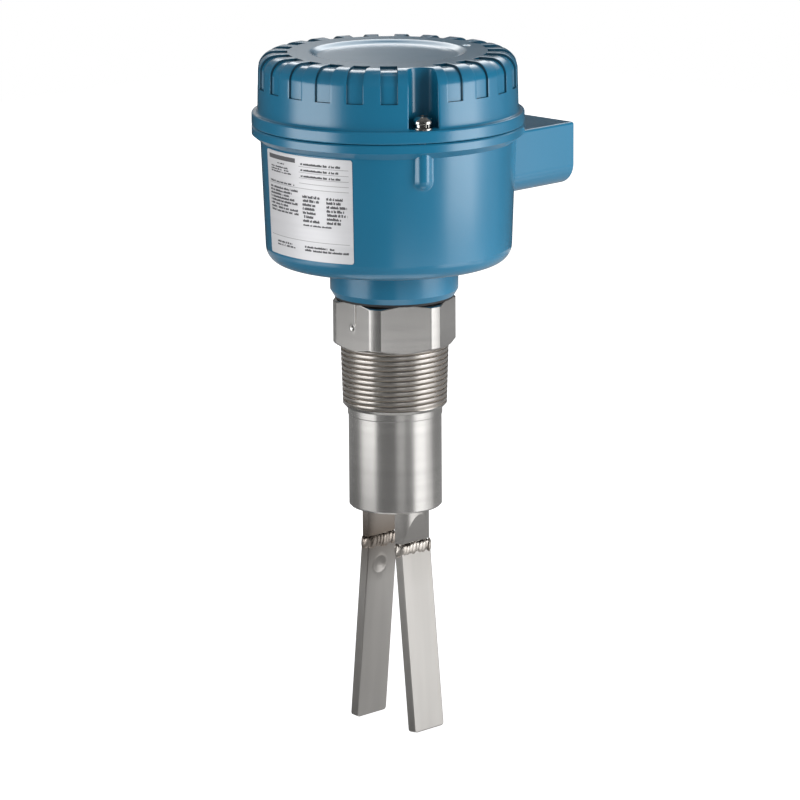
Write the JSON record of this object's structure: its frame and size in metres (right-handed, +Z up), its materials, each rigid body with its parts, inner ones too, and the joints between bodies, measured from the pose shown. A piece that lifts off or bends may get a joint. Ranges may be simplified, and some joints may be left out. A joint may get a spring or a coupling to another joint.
{
  "type": "vibrating fork level switch",
  "caption": "Point level switch for bulk solids: blue cast housing with screw-on castellated lid, cable entry block, hexagon, taper thread, sensor tube and welded two-tine fork.",
  "frame": {"origin": "centre of the hexagon's underside on the probe axis, where the taper thread begins", "axes": "+Z up the probe axis towards the housing, +X towards the cable entries, tines apart along Y"},
  "size_m": [0.1474, 0.12, 0.3068],
  "materials": {
    "blue_paint": "smooth semi-gloss powder coat on die-cast aluminium",
    "machined_steel": "turned stainless steel, fine circular tool marks",
    "blade_steel": "satin stainless steel with tinted welds",
    "plate_foil": "matt silver foil",
    "black_rubber": "matt",
    "screw_steel": "bright stainless steel",
    "nickel_brass": "nickel-plated brass",
    "lead_insulation": "matt insulation",
    "dark_plastic": "moulded glass-filled plastic",
    "board_laminate": "solder-masked laminate",
    "black_component": "moulded component cases",
    "terminal_plastic": "moulded terminal strip",
    "lamp_lens": "diffused lens",
    "grey_plastic": "moulded cover",
    "knob_plastic": "moulded knobs",
    "ceramic": "fired ceramic"
  },
  "bodies": {
    "root": {"housing": "blue_paint", "name_plate": "plate_foil", "blanking_plug": "nickel_brass", "plug_seal": "black_rubber", "neck_gasket": "black_rubber", "spigot_seal": "black_rubber", "process_connection": "machined_steel", "lock_nut_washer": "screw_steel", "lock_nut": "nickel_brass", "sensor_tube": "machined_steel", "fork_diaphragm": "machined_steel", "front_tine": "blade_steel", "rear_tine": "blade_steel", "sensor_leads": "lead_insulation", "lead_grommet": "black_rubber", "electronics_carrier": "dark_plastic", "circuit_board": "board_laminate", "transformer": "black_component", "relay": "black_component", "terminal_block": "terminal_plastic", "terminal_screws": "screw_steel", "status_lamp": "lamp_lens", "switch_bodies": "black_component", "module_cover": "grey_plastic", "module_screws": "screw_steel", "pressure_plate": "machined_steel", "stack_nut": "screw_steel", "insulating_discs": "ceramic", "piezo_discs": "ceramic", "stack_stud": "screw_steel", "earth_clamp": "screw_steel", "earth_screw": "nickel_brass"},
    "lid": {"lid": "blue_paint", "lid_seal": "black_rubber"},
    "lock": {"lock_screw": "screw_steel", "lock_spring_washer": "screw_steel", "lock_flat_washer": "screw_steel"},
    "sensitivity": {"sensitivity_switch": "knob_plastic"},
    "failsafe": {"failsafe_switch": "knob_plastic"}
  },
  "joints": [
    {"name": "lid_lift", "type": "slide", "parent": "root", "child": "lid", "axis": [0, 0, 1], "range_m": [0, 0.06]},
    {"name": "lock_screw_out", "type": "slide", "parent": "lid", "child": "lock", "axis": [0, 0, 1], "range_m": [0, 0.021]},
    {"name": "sensitivity_slide", "type": "slide", "parent": "root", "child": "sensitivity", "axis": [1, 0, 0], "range_m": [0, 0.002]},
    {"name": "failsafe_slide", "type": "slide", "parent": "root", "child": "failsafe", "axis": [1, 0, 0], "range_m": [0, 0.002]}
  ]
}
